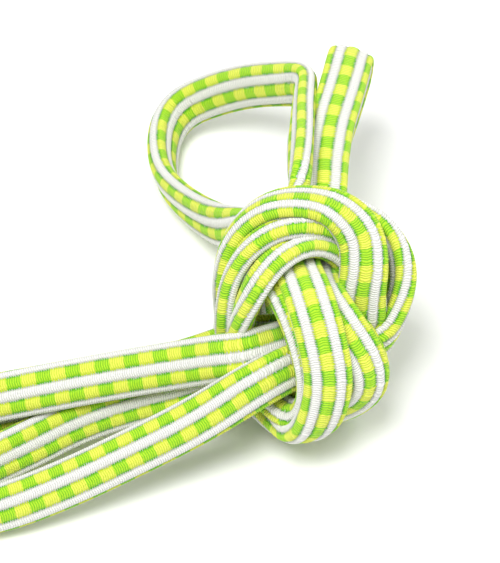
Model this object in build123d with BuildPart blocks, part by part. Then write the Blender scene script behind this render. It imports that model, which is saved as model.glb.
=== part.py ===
"""Woven elastic loop, folded to four strands, tied in one overhand knot, with its far length wound in a coil.

Millimetres, +Z up, z = 0 is the surface it lies on. The origin is under the middle of the whole part.
Places are given from the middle of the knot, seen from above, and KNOT moves them into the part's frame.
"""

from build123d import *
from math import cos, pi, radians, sin, tan
import os

os.makedirs("parts", exist_ok=True)

# Driving dimensions
BAND_WIDTH = 9.5  # flat-oval band, across its wide faces
BAND_THICKNESS = 4.75
TUBE_DIAMETER = (BAND_WIDTH * BAND_THICKNESS) ** 0.5  # round section as large as the band's
COVER_WALL = 0.8  # woven cover round the rubber threads
BUNDLE_DIAMETER = 2 * TUBE_DIAMETER  # round section as large as four bands'
COIL_RADIUS = 52.5  # middle of the coil's turns
COIL_LAYER = 9.8  # one turn of the coil, lying on edge
COIL_WIDTH = 21.0  # four strands side by side
COIL_EDGE = 3.0
COIL_CENTRE = (-136.0, 32.0)
LEAD_IN = 52.0  # straight stretch where the strands run up to the coil
FERRULE_LENGTH = 14.0
FERRULE_WALL = 0.7
FERRULE_ANGLE = 120.0  # round the coil, from +X
FERRULE_HEIGHT = 15.4
FERRULE_OFFSET = 9.4  # outside the middle of the turns
KNOT = Vector(89.88, -29.73, 0)

# Routes, from the middle of the knot
OPEN_LOOP = [
    (-3.4, 23.5, 30.5),
    (-3.4, 35, 30.5),
    (-2.6, 50.5, 28),
    (-2.4, 62.5, 23.5),
    (-8, 69.8, 19),
    (-14.4, 70.8, 15),
    (-20.7, 70.4, 11),
    (-27, 69, 8),
    (-31.5, 65, 6.2),
    (-32, 58, 5.5),
    (-30, 50, 6),
    (-24.5, 40, 8.5),
    (-17.3, 30.6, 14.5),
    (-9, 23, 20.5),
    (-3, 16, 26.5),
]
FOLDED_END = [
    (3.6, 23.5, 33.6),
    (3.6, 31, 33.6),
    (5.0, 42, 33),
    (6.4, 51.5, 31.8),
    (7.4, 60.5, 30.2),
    (7.4, 59.5, 22.5),
    (6.4, 50.5, 24.4),
    (5.0, 41, 25.9),
    (3.6, 31, 26.6),
    (3.6, 23.5, 26.6),
]
STRANDS = {
    "strand_top": [
        (-16, -6.5, 20.9),
        (-25, -6.5, 20.9),
        (-40.8, -9.8, 17.1),
        (-59.9, -12.1, 13.9),
        (-72, -13.5, 9.7),
        (-84, -13.5, 9.7),
    ],
    "strand_middle": [
        (-16, -5.6, 13.9),
        (-25, -5.6, 13.9),
        (-43, -12, 7.6),
        (-60.1, -16.6, 4.6),
        (-72, -16.5, 3.5),
        (-84, -16.5, 3.5),
    ],
    "strand_front": [
        (-16, -13.3, 20.2),
        (-25, -13.3, 20.2),
        (-40.5, -24.8, 14.2),
        (-59.1, -32.8, 9.5),
        (-72, -31, 3.5),
        (-84, -31, 3.5),
    ],
    "strand_back": [
        (-16, -12.4, 13.2),
        (-25, -12.4, 13.2),
        (-40.9, -20.9, 5.5),
        (-59.7, -25.2, 3.6),
        (-72, -23.7, 3.5),
        (-84, -23.7, 3.5),
    ],
}
KNOT_ROUTE = [
    (-16, -9.5, 17),
    (-7.6, -9.5, 17),
    (1.1, -1.5, 12.5),
    (10.7, 3.1, 18.7),
    (13.3, 7.2, 28.7),
    (8.5, 12.5, 37.1),
    (-1.0, 14.0, 39.7),
    (-11.4, 10, 36.0),
    (-16.2, 5.6, 27.0),
    (-15.6, 2.5, 15.5),
    (-12.5, -4, 7.2),
    (-5.5, -12.5, 7),
    (1.5, -17.5, 10.5),
    (5, -17.5, 19),
    (4, -12.5, 27),
    (1, -5, 32),
    (-1, 4.5, 33),
    (0, 14.5, 30),
    (0, 23.5, 30),
]
# Each pass of the knot runs from the middle of one run of KNOT_ROUTE to the middle of a later one
KNOT_PASSES = {
    "knot_over_turn": (3, 8),
    "knot_front_turn": (12, 17),
    "knot_first_pass": (0, 3),
    "knot_under_pass": (8, 12),
}


def placed(points):
    return [KNOT + Vector(*point) for point in points]


def corner_radii(points):
    """The largest arc that each corner's shorter run allows."""
    radii = []
    for before, corner, after in zip(points, points[1:], points[2:]):
        run_in = corner - before
        run_out = after - corner
        half_turn = radians(run_in.get_angle(run_out) / 2)
        radii.append(0.45 * min(run_in.length, run_out.length) / tan(half_turn))
    return radii


def report(name, radii, path, diameter):
    expected = pi * diameter**2 / 4 * path.length
    print(f"{name}: radii {[round(r, 1) for r in radii]}, length {path.length:.1f}, volume {expected:.0f}", flush=True)


def band_stretch(name, points, neighbours=()):
    """A stretch of band as a woven cover and the rubber threads inside it."""
    points = placed(points)
    radii = corner_radii(points)
    core_diameter = TUBE_DIAMETER - 2 * COVER_WALL
    section_plane = Plane(origin=points[0], z_dir=points[1] - points[0])
    with BuildPart() as cover:
        with BuildLine() as cover_path:
            FilletPolyline(*points, radius=radii)
        with BuildSketch(section_plane):
            Circle(TUBE_DIAMETER / 2)
            Circle(core_diameter / 2, mode=Mode.SUBTRACT)
        sweep(path=cover_path.wires()[0])
        for neighbour in neighbours:
            add(neighbour, mode=Mode.SUBTRACT)
    with BuildPart() as core:
        with BuildLine() as core_path:
            FilletPolyline(*points, radius=radii)
        with BuildSketch(section_plane):
            Circle(core_diameter / 2)
        sweep(path=core_path.wires()[0])
        for neighbour in neighbours:
            add(neighbour, mode=Mode.SUBTRACT)
    report(name, radii, cover_path.wires()[0], TUBE_DIAMETER)
    for half, node in ((cover, f"{name}_cover"), (core, f"{name}_core")):
        half.part.label = node
        export_step(half.part, f"parts/{node}.step")
    return [cover.part, core.part]


def knot_pass(name, first, last, earlier):
    """One pass of the four-strand bundle through the knot."""
    route = placed(KNOT_ROUTE)
    points = route[first : last + 2]
    if first > 0:
        points[0] = (route[first] + route[first + 1]) / 2
    if last + 2 < len(route):
        points[-1] = (route[last] + route[last + 1]) / 2
    radii = corner_radii(route)[first:last]
    with BuildPart() as bundle:
        with BuildLine() as bundle_path:
            FilletPolyline(*points, radius=radii)
        with BuildSketch(Plane(origin=points[0], z_dir=points[1] - points[0])):
            Circle(BUNDLE_DIAMETER / 2)
        sweep(path=bundle_path.wires()[0])
        for other in earlier:
            add(other, mode=Mode.SUBTRACT)
    report(name, radii, bundle_path.wires()[0], BUNDLE_DIAMETER)
    bundle.part.label = name
    export_step(bundle.part, f"parts/{name}.step")
    return bundle.part


# The knot: its passes lie against each other without sharing any space
knot = []
for pass_name, (first_point, last_point) in KNOT_PASSES.items():
    knot.append(knot_pass(pass_name, first_point, last_point, list(knot)))

# The coil: two turns on edge, one on the other, with the straight stretch that leads into the lower one
coil_middle = KNOT + Vector(*COIL_CENTRE, 0)
ferrule_turn = radians(FERRULE_ANGLE)
ferrule_radius = COIL_RADIUS + FERRULE_OFFSET
ferrule_middle = coil_middle + Vector(
    ferrule_radius * cos(ferrule_turn), ferrule_radius * sin(ferrule_turn), FERRULE_HEIGHT
)
ferrule_plane = Plane(
    origin=ferrule_middle, x_dir=(0, 0, 1), z_dir=(-sin(ferrule_turn), cos(ferrule_turn), 0)
)
with BuildPart() as stored_coil:
    with BuildSketch(Plane.XY.offset(0)):
        with Locations((coil_middle.X, coil_middle.Y)):
            Circle(COIL_RADIUS + COIL_WIDTH / 2)
            Circle(COIL_RADIUS - COIL_WIDTH / 2, mode=Mode.SUBTRACT)
    extrude(amount=2 * COIL_LAYER)
    fillet(stored_coil.edges().filter_by(GeomType.CIRCLE).group_by(Axis.Z)[-1], COIL_EDGE)
    with BuildSketch(Plane.XY.offset(0)):
        with Locations((coil_middle.X, coil_middle.Y - COIL_RADIUS)):
            Rectangle(LEAD_IN, COIL_WIDTH, align=(Align.MIN, Align.CENTER))
    extrude(amount=COIL_LAYER)
    with BuildSketch(ferrule_plane.offset(-FERRULE_LENGTH / 2)):
        Ellipse(BAND_WIDTH / 2 + FERRULE_WALL, BAND_THICKNESS / 2 + FERRULE_WALL)
    extrude(amount=FERRULE_LENGTH, mode=Mode.SUBTRACT)
stored_coil.part.label = "stored_coil"
export_step(stored_coil.part, "parts/stored_coil.step")

# The join: a crimped oval sleeve on the two butted ends of the band
with BuildPart() as join_ferrule:
    with BuildSketch(ferrule_plane.offset(-FERRULE_LENGTH / 2)):
        Ellipse(BAND_WIDTH / 2 + FERRULE_WALL, BAND_THICKNESS / 2 + FERRULE_WALL)
        Ellipse(BAND_WIDTH / 2, BAND_THICKNESS / 2, mode=Mode.SUBTRACT)
    extrude(amount=FERRULE_LENGTH)
join_ferrule.part.label = "join_ferrule"
export_step(join_ferrule.part, "parts/join_ferrule.step")

with BuildPart() as joined_ends:
    with BuildSketch(ferrule_plane):
        Ellipse(BAND_WIDTH / 2, BAND_THICKNESS / 2)
    extrude(amount=FERRULE_LENGTH / 2 - 0.05)
    mirror(about=ferrule_plane)
    with BuildSketch(ferrule_plane):
        Ellipse(BAND_WIDTH, BAND_THICKNESS)
    extrude(amount=0.1, both=True, mode=Mode.SUBTRACT)
joined_ends.part.label = "joined_ends"
export_step(joined_ends.part, "parts/joined_ends.step")

# The band outside the knot, between the knot and the coil
stretches = band_stretch("open_loop", OPEN_LOOP, knot)
stretches += band_stretch("folded_end", FOLDED_END)
for strand_name, strand_points in STRANDS.items():
    stretches += band_stretch(strand_name, strand_points, knot)

whole = Compound([*knot, *stretches, stored_coil.part, join_ferrule.part, joined_ends.part]).bounding_box()
print("corners of the whole box", whole.min, whole.max, "middle", (whole.min + whole.max) / 2)
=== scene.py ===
"""Woven elastic loop tied in one overhand knot: the band, its core and its ferrule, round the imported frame."""

from math import ceil, cos, pi, radians, sin

import bpy
import numpy as np
from mathutils import Matrix, Vector


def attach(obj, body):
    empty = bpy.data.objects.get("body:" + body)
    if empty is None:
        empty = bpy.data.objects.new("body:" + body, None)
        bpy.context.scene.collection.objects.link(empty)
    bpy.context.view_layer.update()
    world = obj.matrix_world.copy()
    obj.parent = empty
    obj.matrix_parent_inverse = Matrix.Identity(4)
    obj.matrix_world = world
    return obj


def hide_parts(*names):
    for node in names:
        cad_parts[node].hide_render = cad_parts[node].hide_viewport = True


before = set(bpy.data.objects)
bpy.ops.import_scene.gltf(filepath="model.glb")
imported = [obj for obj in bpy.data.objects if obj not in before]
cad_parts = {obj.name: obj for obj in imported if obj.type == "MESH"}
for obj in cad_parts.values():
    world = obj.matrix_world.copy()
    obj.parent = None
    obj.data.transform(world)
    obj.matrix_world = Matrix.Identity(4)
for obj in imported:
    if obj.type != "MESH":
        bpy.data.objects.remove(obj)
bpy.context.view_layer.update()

MM = 0.001

# Driving dimensions, in mm, as in the CAD part
BAND_WIDTH = 9.5
BAND_THICKNESS = 4.75
COIL_RADIUS = 52.5
COIL_LAYER = 9.8
COIL_CENTRE = np.array((-136.0, 32.0, 0.0))
FERRULE_ANGLE = 120.0  # round the coil, from +X
KNOT = np.array((89.88, -29.73, 0.0))

# The band's weave
RIBS = 10  # round the band, white and checked in turn
BLOCK = 2.85  # one green or yellow block, along the band
PICK = 0.45  # one crosswise thread
RIB_GROOVE = 0.45
CORE_WIDTH, CORE_THICKNESS = 7.6, 2.9
WIDER_CHECKS = 0.05  # the checked ribs are a little wider than the white ones
THREAD_RELIEF = 0.09
SQUARENESS = 2.7  # the section's superellipse power: 2 would be an ellipse
UV_LENGTH = 100.0  # mm of band to one unit of the weave map
# Each colour's second, darker copy is painted shade, for the grooves between ribs and the gaps between threads
GREEN, SHADED_GREEN = (0.46, 0.78, 0.02, 1), (0.07, 0.4, 0.003, 1)
YELLOW, SHADED_YELLOW = (0.82, 0.86, 0.11, 1), (0.45, 0.6, 0.01, 1)
WHITE, SHADED_WHITE = (0.88, 0.88, 0.84, 1), (0.5, 0.51, 0.46, 1)

# How finely the band is modelled, in mm
STEP = 1.6  # between the places on its line
SEEN = 100.0  # how far from the knot the threads are modelled in full
FINE_RING, COARSE_RING = PICK / 3, 1.2
POINTS_PER_RIB = 6
CORE_POINTS = 16
OUTLINE_POINTS = 1001
RAIL = 4  # from the line to the one beside it that says where the front looks

# How strands push each other apart. SQUEEZE is how far they may sink into each other before they push. They
# sink deeper where their routes hold them together.
NEAR_KNOT = 78  # only strands this near the knot push
SQUEEZE = 1.2
SAME_STRETCH = 9.0  # places nearer than this along the band don't push each other
PUSH, TWIST = 1.3, 0.4  # how much of the needed shift and roll each round takes
HOLD_DEPTH, HOLD_ACROSS = 0.01, 0.25  # how firmly a route holds out of the knot's broad side, and along it
HOLD_ROLL = 0.03
PAIRS_EVERY, PAIRS_MARGIN = 8, 2.0  # rounds between searches for neighbours, and how much further they look
FLOOR_GAP = 0.8  # under the lowest discs, since the section's corners reach past them

# The knot lies with its broad side facing up and forwards. Places in it are given as right, up along
# that side, and out of it, from its middle.
LEAN = radians(50)
KNOT_HEIGHT = 24.0
LEVEL_TO_WORLD = np.eye(3)
LEAN_TO_WORLD = np.array(((1, 0, 0), (0, sin(LEAN), cos(LEAN)), (0, -cos(LEAN), sin(LEAN))))

# Each point of a route: its place, the way that the band's front looks there (the wide side with three
# checked ribs; the back has two), and how many ribs the pattern has crept round the band, if any. First the
# parts that lie level, from the middle of the knot, then the knot's own passes.
OPEN_LOOP = [
    ((-2.6, 25.5, 33.5), (0.9, 0.2, -0.2), 1),
    ((-2.6, 31.5, 33), (0.95, 0.15, -0.15), 1),
    ((-2.2, 42, 31.3), (0.95, 0.15, -0.15), 1),
    ((-1.6, 51.5, 28.2), (0.95, 0.2, -0.2), 1),
    ((-1, 58, 25), (0.85, 0.4, -0.4), 0.9),
    ((-2, 62.5, 22), (0.6, 0.8, -0.5), 0.75),
    ((-6.5, 65.3, 19.2), (0.2, 0.9, -0.6), 0.6),
    ((-13, 68.8, 14.8), (0, 0.85, -0.6), 0.6),
    ((-20, 70.4, 10.5), (-0.1, 0.85, -0.6), 0.6),
    ((-26.5, 69.7, 7.3), (-0.35, 0.8, -0.5), 0.6),
    ((-29.8, 65, 5.9), (-0.8, 0.5, -0.5), 0.6),
    ((-30.6, 57, 5.5), (-0.95, -0.15, -0.4), 0.6),
    ((-29.4, 49.5, 6), (-0.8, -0.4, -0.2), 0.6),
    ((-24.6, 41, 8.3), (-0.7, -0.5, -0.05), 0.6),
    ((-17.8, 32, 12.5), (-0.65, -0.5, 0.1), 0.6),
]
FOLDED_END = [
    ((2, 26, 29.6), (0, -0.1, 1)),
    ((2.2, 34, 29.5), (0, 0, 1)),
    ((3.6, 44, 29.5), (0, 0, 1)),
    ((6, 54, 29.3), (0.1, 0.1, 1)),
    ((8.2, 65.5, 28.4), (0.45, 0.7, 0.6)),
    ((8.2, 65.2, 22.8), (0.45, 0.8, -0.5)),
    ((5.6, 54, 23.9), (0.1, 0, -1)),
    ((2.8, 43.5, 24.4), (0, 0, -1)),
    ((1.4, 33.5, 24.5), (0, 0, -1)),
    ((2, 26, 24.4), (0, 0, -1)),
]
TO_VIEW = (0, -0.64, 0.77)
FROM_VIEW = (0, 0.64, -0.77)
STEEP_TO_VIEW = (0, -0.78, 0.62)
DOWN_FROM_VIEW = (0, 0.82, -0.57)
STRAND_TOP = [
    ((-73, -12.2, 10.5), (0, 1, -0.3)),
    ((-60, -11.3, 13.2), FROM_VIEW),
    ((-40, -8.2, 15.4), FROM_VIEW),
    ((-21.8, -6.4, 18), FROM_VIEW),
]
STRAND_MIDDLE = [
    ((-73, -25, 5), (0, 0.9, -0.4)),
    ((-65.5, -22.9, 5.2), DOWN_FROM_VIEW),
    ((-55, -17.2, 5.8), DOWN_FROM_VIEW),
    ((-45.5, -12, 7.3), DOWN_FROM_VIEW),
    ((-35, -9.2, 9.4), DOWN_FROM_VIEW),
    ((-23.8, -7.8, 11.5), FROM_VIEW),
]
STRAND_FRONT = [
    ((-73, -34.8, 5.2), (0, -1, 0.1), 0.5),
    ((-60, -32.6, 5.8), STEEP_TO_VIEW, 0.5),
    ((-48, -28.6, 8), STEEP_TO_VIEW, 0.5),
    ((-36, -24, 11.2), STEEP_TO_VIEW, 0.5),
    ((-22, -18.2, 15), STEEP_TO_VIEW, 0.5),
]
STRAND_BACK = [
    ((-73, -11.5, 6), (0, -0.5, 0.9)),
    ((-60, -9.5, 7.5), (0, -0.4, 0.9)),
    ((-48.9, -8, 9), TO_VIEW),
    ((-37.4, -4.8, 10.3), TO_VIEW),
    ((-22, -2, 12.9), TO_VIEW),
]

# In the knot: top strand, over turn, front turn, left leg of the open loop
KNOT_TOP = [
    ((-9, -6.5, 1), (0, 0, -1)),
    ((-2, -4.5, -2), (0.2, -0.1, -1)),
    ((4, -2.5, -4.5), (0.6, -0.3, -0.8)),
    ((7.5, 3, -4.5), (1, 0, -0.4)),
    ((6.2, 9, -2.5), (0.8, 0.6, 0)),
    ((2.5, 13.4, 0.5), (0.4, 0.9, 0.2)),
    ((-3, 14, 4.5), (-0.1, 0.95, 0.35)),
    ((-8.3, 10.6, 5.8), (-0.6, 0.75, 0.35)),
    ((-12, 4.8, 5), (-0.85, 0.3, 0.35)),
    ((-14.7, -2, -0.5), (-1, 0, 0.1)),
    ((-13.5, -9, -7.5), (-0.85, -0.4, -0.3)),
    ((-9.5, -15, -8), (-0.4, -0.9, -0.1)),
    ((-3, -19.5, -6), (0.4, -0.9, 0.1)),
    ((-0.4, -15.5, -0.5), (0.95, -0.3, 0.2)),
    ((-1.1, -8.5, 3.5), (0.95, 0, 0.05), -0.1),
    ((-4.3, -1, 5.5), (0.97, 0, 0.05), -0.1),
    ((-7.2, 5, 3), (0.95, 0, 0.15), -0.1),
    ((-9.3, 10, -4), (0.4, 0.4, 0.8)),
    ((-9.5, 13.5, -10), (-0.3, 0.5, 0.8)),
    ((-12, 16, -18), (-0.6, 0.2, 0.7)),
]
# Middle strand, over turn, front turn, right leg of the open loop
KNOT_MIDDLE = [
    ((-9, -8.2, -4.5), (0, 0, -1)),
    ((-1, -6.5, -7.5), (0.2, -0.2, -1)),
    ((6, -3, -9), (0.7, -0.4, -0.6)),
    ((9, 3, -7), (1, 0, -0.3)),
    ((7.5, 9.5, -4), (0.9, 0.5, 0)),
    ((4.5, 14.6, 0), (0.6, 0.8, 0.2), -0.3),
    ((-1, 17.6, 4.3), (0, 1, 0.25), -0.3),
    ((-7.5, 16.6, 5), (-0.5, 0.85, 0.25), -0.3),
    ((-13, 12.7, 4), (-0.8, 0.6, 0.2), -0.3),
    ((-16, 6, 0.5), (-1, 0.2, 0.2), -0.3),
    ((-16, -2, -4.5), (-1, -0.1, 0), -0.3),
    ((-14.5, -9.5, -10.5), (-0.8, -0.5, -0.3)),
    ((-10.5, -17.5, -11), (-0.4, -0.9, 0)),
    ((-5, -21.8, -5), (-0.1, -1, 0.1)),
    ((0, -21.5, 3), (0.1, -0.8, 0.6)),
    ((2.7, -13, 8.5), (0, -0.1, 1)),
    ((1.0, -4, 10.7), (0, 0, 1)),
    ((-1.2, 3.5, 9.5), (0, 0.1, 1)),
    ((-4.2, 10, 3), (0.1, 0.4, 0.9)),
    ((-3.2, 15, -4), (0.4, 0.4, 0.8)),
    ((-2.5, 20, -7.5), (0.75, 0.3, 0.2)),
]
# Back strand, over turn, front turn, upper layer of the folded end
KNOT_BACK = [
    ((-9, -3.5, -9), (0, 0, 1)),
    ((0, -6.5, -12), (0, 0, 1)),
    ((6.5, -7.5, -9), (-0.2, 0.2, 1)),
    ((9.2, -2, -3.5), (-0.3, 0, 1)),
    ((8.6, 4, 1.2), (0, 0, 1)),
    ((9.3, 9.5, 3.2), (0, 0, 1)),
    ((8.6, 15.5, 4.2), (0.1, 0.2, 1)),
    ((4, 20.4, 4.8), (0.1, 0.7, 0.7), 0.5),
    ((-3, 21.6, 3.8), (-0.1, 0.95, 0.35), 0.5),
    ((-10, 20.3, 3), (-0.5, 0.85, 0.25), 0.5),
    ((-15.2, 15.3, 1), (-0.8, 0.6, 0.3), 0.5),
    ((-16.6, 8, -2), (-0.95, 0.3, 0.2), 0.5),
    ((-16.4, 0, -6), (-1, 0, 0.1), 0.5),
    ((-15.5, -8, -11.5), (-0.9, -0.4, -0.1)),
    ((-12, -14, -14.5), (-0.5, -0.8, -0.3)),
    ((-5, -19, -12), (-0.1, -1, 0)),
    ((4, -17.4, -5), (0.4, -0.9, 0.4)),
    ((9.4, -14.6, 2), (0.5, -0.4, 0.85)),
    ((9.5, -9.5, 5), (0.35, 0, 0.93)),
    ((5.4, -3, 5.2), (0.08, 0, 1)),
    ((0.9, 3.5, 2.5), (0.05, 0.1, 1)),
    ((-0.9, 9.5, -3), (0, 0.4, 0.9)),
    ((0.3, 15, -9.5), (0, 0.4, 0.9)),
    ((1, 20, -12), (0, 0.1, 1)),
]
# Front strand, over turn, front turn, lower layer of the folded end
KNOT_FRONT = [
    ((-8, -11, 3.5), (0, -0.2, 1)),
    ((-1, -8.5, -2.5), (0.2, -0.2, 0.95)),
    ((6.5, -8, -4), (0.6, -0.5, 0.6)),
    ((13, -4.5, -4), (0.9, -0.3, 0)),
    ((16.2, 2.5, -3), (0.95, 0, -0.3)),
    ((16.8, 9, -2), (0.95, 0.1, -0.3), 0.3),
    ((13.6, 15, -1.5), (0.6, 0.5, -0.6), 1),
    ((8, 18.6, -1.5), (0.25, 0.6, -0.75), 1.1),
    ((1, 19.7, -2.5), (0, 0.6, -0.8), 1.1),
    ((-7, 18.6, -5), (-0.4, 0.7, -0.5), 0.8),
    ((-12.5, 15.5, -7.5), (-0.8, 0.6, 0)),
    ((-13.6, 8, -10.5), (-0.9, 0, -0.4)),
    ((-11.2, 0, -14.2), (-0.5, -0.1, -0.85)),
    ((-11, -9, -17), (-0.6, -0.6, -0.5)),
    ((-6, -15, -17), (-0.3, -0.9, -0.3)),
    ((3, -18.5, -11), (0.2, -0.9, 0.2)),
    ((9.5, -14.9, -4.5), (0.7, -0.4, 0.6)),
    ((10.2, -10, -0.5), (0.7, 0, 0.7)),
    ((6.3, -2, 0), (0.6, 0, 0.8)),
    ((2, 4.5, -2.5), (0.6, 0.1, 0.7)),
    ((-0.2, 9.5, -8), (0.7, 0.2, 0.2)),
    ((0.3, 15, -14), (0.6, 0, -0.6)),
    ((1, 20, -17), (0.1, 0, -1)),
]

# The put-away coil: four strands side by side, on edge
COIL_RADII = {"top": 45.0, "back": 50.0, "middle": 55.0, "front": 60.0}
COIL_TURNS = 1.75
POINTS_PER_TURN = 14
CLIMB_START, CLIMB_TURNS = 0.74, 0.27
COIL_WANDER, WANDERS_PER_TURN = 0.5, 1.3
# The closed ends: share of the reach, share of the bulge, and how far the front looks onward
BIGHT_SHAPE = ((0.3, 0.35, 0), (0.62, 1.0, 0.1), (0.95, 0.62, 0.6))
BIGHT_TIP = 1.06


def placed(route, axes=LEVEL_TO_WORLD, middle=(0, 0, 0)):
    """A route's places and front directions in the part's frame, in mm, and how far its ribs have crept."""
    points = []
    for place, front, *creep in route:
        place = KNOT + np.array(middle) + axes.T @ np.array(place, float)
        points.append((place, axes.T @ np.array(front, float), creep[0] if creep else 0.0))
    return points


def in_knot(route):
    return placed(route, LEAN_TO_WORLD, (0, 0, KNOT_HEIGHT))


def coil_height(turns):
    """The first turn climbs over its last quarter, and the second lies on it."""
    climb = min(max((turns - CLIMB_START) / CLIMB_TURNS, 0), 1)
    return COIL_LAYER * (0.5 + climb * climb * (3 - 2 * climb))


def coil_point(radius, turns, outward, onward=0.0):
    """A place in the coil, the front looking outward from the coil's middle, or onward round it."""
    angle = radians(-90) - 2 * pi * turns
    out = np.array((cos(angle), sin(angle), 0.0))
    on = np.array((sin(angle), -cos(angle), 0.0))
    place = KNOT + COIL_CENTRE + radius * out + np.array((0, 0, coil_height(turns)))
    return place, outward * out + onward * on, 0.0


def coiled(strand, outward, first=0.0, last=COIL_TURNS):
    """One strand's turns, from the straight stretch to the free end, a little uneven."""
    count = ceil((last - first) * POINTS_PER_TURN)
    phase = COIL_RADII[strand]
    points = []
    for i in range(count + 1):
        turns = first + (last - first) * i / count
        wander = COIL_WANDER * sin(2 * pi * turns * WANDERS_PER_TURN + phase)
        points.append(coil_point(COIL_RADII[strand] + wander, turns, outward))
    return points


def bight(inner, outer, reach, bulge, front=1):
    """The closed end that joins two strands of the coil: a drop shape lying on edge. Its front is outside,
    or inside with front = -1."""
    turn_length = 2 * pi * COIL_RADIUS

    def point(radius, share, outward, onward):
        return coil_point(radius, COIL_TURNS + reach * share / turn_length, outward, front * onward)

    points = []
    for share, side, onward in BIGHT_SHAPE:
        points.append(point(COIL_RADII[inner] - bulge * side, share, -front, onward))
    points.append(point((COIL_RADII[inner] + COIL_RADII[outer]) / 2, BIGHT_TIP, 0, 1))
    for share, side, onward in reversed(BIGHT_SHAPE):
        points.append(point(COIL_RADII[outer] + bulge * side, share, front, onward))
    return points


def whole_route():
    """The band from one of its ends all the way round to the other. They meet by the ferrule's middle, but
    the line runs 1.6 to 3.4 mm inside the ferrule's axis there, a known fault."""
    ferrule_turns = 1 + (270 - FERRULE_ANGLE) / 360
    route = coiled("front", 1, 0.0, ferrule_turns)[::-1]
    route += placed(STRAND_FRONT) + in_knot(KNOT_FRONT)
    route += placed(FOLDED_END)[::-1] + in_knot(KNOT_BACK)[::-1] + placed(STRAND_BACK)[::-1]
    route += coiled("back", 1) + bight("back", "middle", 15, 3.5, front=-1) + coiled("middle", -1)[::-1]
    route += placed(STRAND_MIDDLE) + in_knot(KNOT_MIDDLE)
    route += placed(OPEN_LOOP) + in_knot(KNOT_TOP)[::-1] + placed(STRAND_TOP)[::-1]
    route += coiled("top", -1) + bight("top", "front", 27, 3.5)
    route += coiled("front", 1, ferrule_turns, COIL_TURNS)[::-1]
    return route


def along_spline(points, name):
    """Points along a smooth NURBS line with these control points."""
    curve = bpy.data.curves.new(name, "CURVE")
    curve.dimensions = "3D"
    curve.resolution_u = 24
    spline = curve.splines.new("NURBS")
    spline.points.add(len(points) - 1)
    for control, place in zip(spline.points, points):
        control.co = (*(np.array(place) * MM), 1)
    spline.order_u = 3
    spline.use_endpoint_u = True
    line = bpy.data.objects.new(name, curve)
    mesh = bpy.data.meshes.new_from_object(line)
    found = np.array([v.co[:] for v in mesh.vertices]) / MM
    bpy.data.meshes.remove(mesh)
    bpy.data.objects.remove(line)
    bpy.data.curves.remove(curve)
    return found


def unit(vectors):
    return vectors / np.maximum(np.linalg.norm(vectors, axis=-1, keepdims=True), 1e-9)


def along(places):
    """The distance of each place along the line."""
    return np.concatenate(([0], np.cumsum(np.linalg.norm(np.diff(places, axis=0), axis=1))))


def at(where, stops, values):
    """Values between the stops, place by place."""
    if values.ndim == 1:
        return np.interp(where, stops, values)
    return np.stack([np.interp(where, stops, column) for column in values.T], axis=1)


def square_to(tangents, vectors):
    return unit(vectors - (vectors * tangents).sum(1, keepdims=True) * tangents)


def smoothed(values, passes):
    for _ in range(passes):
        values[1:-1] = 0.25 * values[:-2] + 0.5 * values[1:-1] + 0.25 * values[2:]
    return values


def press_apart(places, edges, stops, near, rounds=200):
    """Lets the strands within near of the knot push each other apart, mostly out of the knot's broad side.
    Their routes hold them back, so some stay deeper in each other than SQUEEZE. The band's section is three
    discs side by side across its width."""
    disc = BAND_THICKNESS / 2
    reach = BAND_WIDTH / 2 - disc
    gap = 2 * disc - SQUEEZE
    out = LEAN_TO_WORLD[2]
    middle = KNOT + np.array((0, 0, KNOT_HEIGHT))
    moving = np.nonzero(np.linalg.norm(places - middle, axis=1) < near)[0]
    start, start_edge = places[moving].copy(), edges[moving].copy()
    edge = start_edge.copy()
    shift = np.zeros_like(start)
    index = np.repeat(np.arange(len(moving)), 3)
    side = np.tile((-1.0, 0.0, 1.0), len(moving))
    where = stops[moving][index]
    apart_along = np.abs(where[:, None] - where[None, :]) > SAME_STRETCH
    runs = np.split(np.arange(len(moving)), np.nonzero(np.diff(moving) > 1)[0] + 1)
    for turn in range(rounds):
        discs = (start + shift)[index] + side[:, None] * reach * edge[index]
        if turn % PAIRS_EVERY == 0:
            square = (discs**2).sum(1)
            apart = square[:, None] + square[None, :] - 2 * discs @ discs.T
            a, b = np.nonzero((apart < (gap + PAIRS_MARGIN) ** 2) & apart_along)
            a, b = a[a < b], b[a < b]
        between = discs[a] - discs[b]
        distance = np.linalg.norm(between, axis=1)
        deep = gap - distance
        hit = deep > 0
        push = between[hit] / np.maximum(distance[hit], 1e-6)[:, None] * (deep[hit] * 0.5)[:, None]
        total, lever, count = np.zeros_like(start), np.zeros_like(start), np.zeros(len(start))
        for one, sign in ((a[hit], 1.0), (b[hit], -1.0)):
            np.add.at(total, index[one], sign * push)
            np.add.at(lever, index[one], sign * side[one][:, None] * push)
            np.add.at(count, index[one], 1.0)
        busy = np.maximum(count, 1.0)[:, None]
        shift += total / busy * PUSH
        edge = edge + TWIST * lever / busy / reach + HOLD_ROLL * start_edge
        lowest = (start + shift)[:, 2] - np.abs(edge[:, 2]) * reach - disc
        shift[:, 2] += np.maximum(FLOOR_GAP - lowest, 0)
        depth = (shift @ out)[:, None] * out
        shift = depth * (1 - HOLD_DEPTH) + (shift - depth) * (1 - HOLD_ACROSS)
        for run in runs:
            if len(run) > 2:
                shift[run] = smoothed(shift[run], 1)
                edge[run] = smoothed(edge[run], 1)
                shift[run[[0, -1]]] = 0
        edge = unit(edge)
    places, edges = places.copy(), edges.copy()
    places[moving], edges[moving] = start + shift, edge
    return places, edges


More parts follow.
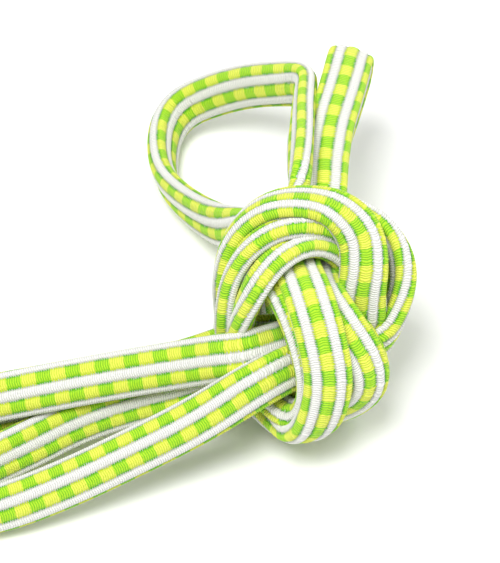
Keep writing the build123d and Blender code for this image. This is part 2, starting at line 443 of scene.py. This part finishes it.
def flat_oval():
    """The section's outline at even steps round it: across, through, and the two parts of its outward way."""
    turn = np.linspace(0, 2 * pi, 2 * OUTLINE_POINTS - 1)
    power = 2 / SQUARENESS
    across = np.sign(np.cos(turn)) * np.abs(np.cos(turn)) ** power * BAND_WIDTH / 2
    through = np.sign(np.sin(turn)) * np.abs(np.sin(turn)) ** power * BAND_THICKNESS / 2
    lengths = along(np.stack((across, through), axis=1))
    even = np.linspace(0, lengths[-1], OUTLINE_POINTS)
    across, through = np.interp(even, lengths, across), np.interp(even, lengths, through)
    outward = unit(np.stack((np.gradient(through), -np.gradient(across)), axis=1))
    return np.linspace(0, RIBS, OUTLINE_POINTS), np.column_stack((across, through, outward))


def ribbed_section(stops, creep):
    """Each ring's points, across and through the band. Ribs 0 to 4 are the band's front and 5 to 9 its back,
    but for the creep. The checked ribs are the even ones."""
    points = RIBS * POINTS_PER_RIB
    around = np.arange(points) / POINTS_PER_RIB
    in_rib, checked = around % 1, around // 1 % 2 == 0
    widened = around + WIDER_CHECKS * (2 * in_rib - 1) * np.where(checked, 1, -1)
    ribs, outline = flat_oval()
    there = at(((widened[None, :] + creep[:, None]) % RIBS).ravel(), ribs, outline)
    there = there.reshape(len(stops), points, 4)
    thread = np.abs((stops[:, None] / PICK + 0.5 * checked + np.abs(in_rib - 0.5)) % 1 - 0.5) * 2
    sink = RIB_GROOVE * (1 - np.sqrt(1 - (2 * in_rib - 1) ** 2 * 0.98))
    sink = sink[None, :] + THREAD_RELIEF * thread * 1
    return there[:, :, :2] - there[:, :, 2:] * sink[:, :, None]


def tube_mesh(name, places, edges, stops, section, material):
    """A closed tube whose section follows the line. Its UV map holds the place along and round the band."""
    tangents = unit(np.gradient(places, axis=0))
    edges = square_to(tangents, edges)
    fronts = np.cross(tangents, edges)
    rings, points = section.shape[:2]
    across, through = section[:, :, :1], section[:, :, 1:]
    verts = places[:, None, :] + across * edges[:, None, :] + through * fronts[:, None, :]
    verts = verts.reshape(-1, 3) * MM
    ring = np.arange(rings - 1)[:, None] * points
    here = np.arange(points)[None, :]
    after = (here + 1) % points
    faces = np.stack((ring + here, ring + after, ring + points + after, ring + points + here), axis=2)
    faces = faces.reshape(-1, 4)
    mesh = bpy.data.meshes.new(name)
    mesh.vertices.add(len(verts))
    mesh.vertices.foreach_set("co", verts.astype(np.float32).ravel())
    caps = (np.arange(points)[::-1], np.arange(points) + (rings - 1) * points)
    corners = np.concatenate((faces.ravel(), *caps))
    sizes = np.concatenate((np.full(len(faces), 4), [points, points]))
    mesh.loops.add(len(corners))
    mesh.loops.foreach_set("vertex_index", corners.astype(np.int32))
    mesh.polygons.add(len(sizes))
    loop_start = np.concatenate(([0], np.cumsum(sizes)[:-1]))
    mesh.polygons.foreach_set("loop_start", loop_start.astype(np.int32))
    mesh.polygons.foreach_set("use_smooth", np.ones(len(sizes), bool))
    mesh.update(calc_edges=True)
    # The seam between the last rib and the first belongs to the last
    round_band = (corners % points).astype(float)
    last_rib = np.repeat(np.arange(len(faces)) % points == points - 1, 4)
    closes = np.concatenate((last_rib, np.zeros(2 * points, bool)))
    round_band += np.where(closes & (corners % points == 0), points, 0)
    layer = mesh.uv_layers.new(name="weave")
    values = np.stack((stops[corners // points] / UV_LENGTH, round_band / points), axis=1)
    layer.data.foreach_set("uv", values.astype(np.float32).ravel())
    mesh.materials.append(material)
    piece = bpy.data.objects.new(name, mesh)
    bpy.context.scene.collection.objects.link(piece)
    return piece


def plain_material(name, colour, roughness):
    material = bpy.data.materials.new(name)
    material.use_nodes = True
    shader = material.node_tree.nodes["Principled BSDF"]
    shader.inputs["Base Color"].default_value = (*colour, 1)
    shader.inputs["Roughness"].default_value = roughness
    return material


def rubber_material():
    """Pale natural rubber, slightly mottled."""
    material = plain_material("natural_rubber", (0.78, 0.68, 0.5), 0.55)
    nodes = Nodes(material)
    mottle = nodes.noise(900, 3)
    colour = nodes.mix(nodes.band(mottle, -0.2, 0.2), (0.82, 0.72, 0.54, 1), (0.7, 0.58, 0.4, 1))
    nodes.link(colour, nodes.shader.inputs["Base Color"])
    nodes.bump(mottle, 0.0001)
    return material


def metal_material():
    """Bright nickel-plated steel with a little wear; the lines drawn along the sleeve are not modelled."""
    material = plain_material("nickel_plate", (0.62, 0.61, 0.58), 0.28)
    nodes = Nodes(material)
    nodes.shader.inputs["Metallic"].default_value = 1.0
    wear = nodes.noise(700, 6)
    roughness = nodes.math("ADD", nodes.math("MULTIPLY", wear, 0.3), 0.3)
    nodes.link(roughness, nodes.shader.inputs["Roughness"])
    colour = nodes.mix(nodes.band(wear, -0.1, 0.25), (0.66, 0.65, 0.62, 1), (0.5, 0.48, 0.43, 1))
    nodes.link(colour, nodes.shader.inputs["Base Color"])
    nodes.bump(nodes.noise(2600, 3), 0.00004)
    return material


class Nodes:
    """Short words for building a node tree."""

    def __init__(self, material):
        self.tree = material.node_tree
        self.shader = self.tree.nodes["Principled BSDF"]

    def link(self, value, socket):
        if hasattr(value, "is_output"):
            self.tree.links.new(value, socket)
        else:
            socket.default_value = value

    def math(self, operation, *values):
        node = self.tree.nodes.new("ShaderNodeMath")
        node.operation = operation
        for value, socket in zip(values, node.inputs):
            self.link(value, socket)
        return node.outputs[0]

    def mix(self, factor, one, other):
        """One colour into the other. Inputs 6 and 7 and output 2 are the node's colour sockets."""
        node = self.tree.nodes.new("ShaderNodeMix")
        node.data_type = "RGBA"
        self.link(factor, node.inputs[0])
        self.link(one, node.inputs[6])
        self.link(other, node.inputs[7])
        return node.outputs[2]

    def noise(self, scale, detail=2.0):
        """Noise in the object's own space, about -0.5 to 0.5."""
        place = self.tree.nodes.new("ShaderNodeTexCoord")
        node = self.tree.nodes.new("ShaderNodeTexNoise")
        self.link(place.outputs["Object"], node.inputs["Vector"])
        node.inputs["Scale"].default_value = scale
        node.inputs["Detail"].default_value = detail
        return self.math("SUBTRACT", node.outputs["Fac"], 0.5)

    def bump(self, height, distance):
        node = self.tree.nodes.new("ShaderNodeBump")
        node.inputs["Distance"].default_value = distance
        self.link(height, node.inputs["Height"])
        self.link(node.outputs[0], self.shader.inputs["Normal"])

    def band(self, value, low, high):
        """From 0 to 1 as value goes from low to high, eased."""
        node = self.tree.nodes.new("ShaderNodeMapRange")
        node.interpolation_type = "SMOOTHSTEP"
        for socket, given in zip(("Value", "From Min", "From Max"), (value, low, high)):
            self.link(given, node.inputs[socket])
        return node.outputs[0]


def weave_material():
    """White ribs between checked green and yellow ones, each wound with fine crosswise threads, with painted
    shade in the grooves between ribs and the gaps between threads.
    """
    material = bpy.data.materials.new("woven_elastic")
    material.use_nodes = True
    nodes = Nodes(material)
    tree = material.node_tree
    shader = tree.nodes["Principled BSDF"]
    uv = tree.nodes.new("ShaderNodeUVMap")
    uv.uv_map = "weave"
    split = tree.nodes.new("ShaderNodeSeparateXYZ")
    tree.links.new(uv.outputs[0], split.inputs[0])
    place = nodes.math("MULTIPLY", split.outputs[0], UV_LENGTH)
    round_band = nodes.math("MULTIPLY", split.outputs[1], float(RIBS))

    # The ribs' borders are toothed: the crosswise threads of neighbours interlock there
    thread_place = nodes.math("DIVIDE", place, PICK)
    zigzag = nodes.math("SUBTRACT", nodes.math("PINGPONG", thread_place, 0.5), 0.25)
    tooth = nodes.math("MULTIPLY", zigzag, 0.36)
    ragged = nodes.math("MULTIPLY", nodes.noise(1500), 0.25)
    toothed = nodes.math("ADD", round_band, nodes.math("ADD", tooth, ragged))
    rib = nodes.math("FLOOR", nodes.math("ADD", toothed, float(RIBS)))
    checked = nodes.math("LESS_THAN", nodes.math("MODULO", rib, 2.0), 0.5)
    from_crown = nodes.math("ABSOLUTE", nodes.math("SUBTRACT", nodes.math("FRACT", round_band), 0.5))
    # Painted shade in the grooves: the colour darkens from a rib's crown towards its edges
    groove = nodes.band(from_crown, 0.22, 0.5)

    # Green and yellow blocks along the band, with uneven ends
    uneven = nodes.math("MULTIPLY", nodes.noise(1200), 0.5)
    block_place = nodes.math("DIVIDE", nodes.math("ADD", place, uneven), BLOCK)
    yellow = nodes.math("GREATER_THAN", nodes.math("MODULO", block_place, 2.0), 1.0)

    # The threads slant to each side of a rib's crown. The gaps between them and the grooves between ribs get
    # painted shade, with some random tone added by noise
    half_thread = nodes.math("MULTIPLY", checked, 0.5)
    phase = nodes.math("ADD", nodes.math("ADD", thread_place, half_thread), from_crown)
    thread = nodes.math("MULTIPLY", nodes.math("PINGPONG", phase, 0.5), 2.0)
    gap = nodes.math("POWER", nodes.math("SUBTRACT", 1.0, thread), 2.0)
    shade = nodes.math("MAXIMUM", nodes.math("MULTIPLY", gap, 0.9), groove)
    shade = nodes.math("ADD", shade, nodes.math("MULTIPLY", nodes.noise(2500), 0.5))

    green_thread = nodes.mix(shade, GREEN, SHADED_GREEN)
    yellow_thread = nodes.mix(shade, YELLOW, SHADED_YELLOW)
    white_thread = nodes.mix(shade, WHITE, SHADED_WHITE)
    checks = nodes.mix(yellow, green_thread, yellow_thread)
    tree.links.new(nodes.mix(checked, white_thread, checks), shader.inputs["Base Color"])

    height = nodes.math("ADD", thread, nodes.math("MULTIPLY", nodes.noise(3500), 0.8))
    nodes.bump(height, 0.00012)
    shader.inputs["Roughness"].default_value = 0.62
    shader.inputs["Sheen Weight"].default_value = 0.15
    shader.inputs["Sheen Roughness"].default_value = 0.5
    shader.inputs["Specular IOR Level"].default_value = 0.3
    return material


def set_camera():
    """Looks straight at the knot's broad side, the knot right of the picture's middle and below it."""
    distance = 600.0
    picture_height = 107.0
    knot_right, knot_below = 12.35, 6.4
    sensor = 36
    camera = bpy.data.cameras.new("camera")
    camera.lens = sensor * distance / picture_height
    camera.sensor_width = sensor
    camera.clip_start, camera.clip_end = 0.05, 10
    holder = bpy.data.objects.new("camera", camera)
    bpy.context.scene.collection.objects.link(holder)
    right, up, out = LEAN_TO_WORLD
    aim = KNOT + np.array((0, 0, KNOT_HEIGHT)) - knot_right * right + knot_below * up
    holder.location = (aim + distance * out) * MM
    holder.rotation_euler = Matrix(np.stack((right, up, out), axis=1)).to_euler()
    bpy.context.scene.camera = holder


def area_light(name, place, aim, size, power):
    light = bpy.data.lights.new(name, "AREA")
    light.size = size
    light.energy = power
    holder = bpy.data.objects.new(name, light)
    holder.location = place
    holder.rotation_euler = (Vector(aim) - Vector(place)).to_track_quat("-Z", "Y").to_euler()
    bpy.context.scene.collection.objects.link(holder)


def set_stage():
    """White surroundings, a pale floor, one key light and a weak fill."""
    world = bpy.data.worlds.new("studio")
    world.use_nodes = True
    background = world.node_tree.nodes["Background"]
    background.inputs["Color"].default_value = (1, 1, 1, 1)
    background.inputs["Strength"].default_value = 0.42
    bpy.context.scene.world = world
    mesh = bpy.data.meshes.new("floor")
    half = 3.0
    corners = [(-half, -half, 0), (half, -half, 0), (half, half, 0), (-half, half, 0)]
    mesh.from_pydata(corners, [], [(0, 1, 2, 3)])
    mesh.materials.append(plain_material("floor_white", (0.97, 0.97, 0.97), 0.9))
    floor = bpy.data.objects.new("floor", mesh)
    bpy.context.scene.collection.objects.link(floor)
    area_light("key", (-0.1, -0.25, 0.8), (0.05, 0, 0), 0.4, 6.9)
    area_light("fill", (0.5, 0.1, 0.5), (0.05, 0, 0), 0.5, 1.5)
    bpy.context.scene.view_settings.view_transform = "Standard"


set_camera()
set_stage()

# The band's line, the way its wide side lies, and how far its ribs have crept, at even steps
route = whole_route()
line = along_spline([place for place, _, _ in route], "band_line")
beside = [place + RAIL * front / np.linalg.norm(front) for place, front, _ in route]
rail = along_spline(beside, "band_rail")
creep = along_spline([(creep, 0, 0) for _, _, creep in route], "band_creep")[:, 0]
stops = along(line)
steps = np.linspace(0, stops[-1], round(stops[-1] / STEP) + 1)
places, fronts, creep = at(steps, stops, line), at(steps, stops, rail - line), at(steps, stops, creep)
edges = unit(np.cross(fronts, unit(np.gradient(places, axis=0))))
places, edges = press_apart(places, edges, steps, near=NEAR_KNOT)
stops = along(places)

# The cover, its rings close together where its threads are seen
seen = (np.linalg.norm(places - KNOT, axis=1) < SEEN) & (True)
spacing = np.where(seen, FINE_RING, COARSE_RING)
rings = np.concatenate(([0], np.cumsum(np.diff(stops) / spacing[1:])))
ring_stops = np.interp(np.linspace(0, rings[-1], round(rings[-1]) + 1), rings, stops)
ring_places, ring_edges = at(ring_stops, stops, places), at(ring_stops, stops, edges)
ribbed = ribbed_section(ring_stops, at(ring_stops, stops, creep))
cover = tube_mesh("elastic_band", ring_places, ring_edges, ring_stops, ribbed, weave_material())

# The rubber inside it
turn = np.linspace(0, 2 * pi, CORE_POINTS, endpoint=False)
bundle = np.stack((np.cos(turn) * CORE_WIDTH, np.sin(turn) * CORE_THICKNESS), axis=1) / 2
bundles = np.tile(bundle, (len(stops), 1, 1))
core = tube_mesh("rubber_core", places, edges, stops, bundles, rubber_material())
ferrule = bpy.data.objects["join_ferrule"]
ferrule.material_slots[0].material = metal_material()

soft_nodes = [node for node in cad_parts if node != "join_ferrule"]
core_nodes = [node for node in soft_nodes if node.endswith("_core") or node == "joined_ends"]
cover_nodes = [node for node in soft_nodes if node not in core_nodes]
for piece, slot, nodes in ((cover, "woven_cover", cover_nodes), (core, "rubber", core_nodes)):
    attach(piece, "root")
    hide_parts(*nodes)
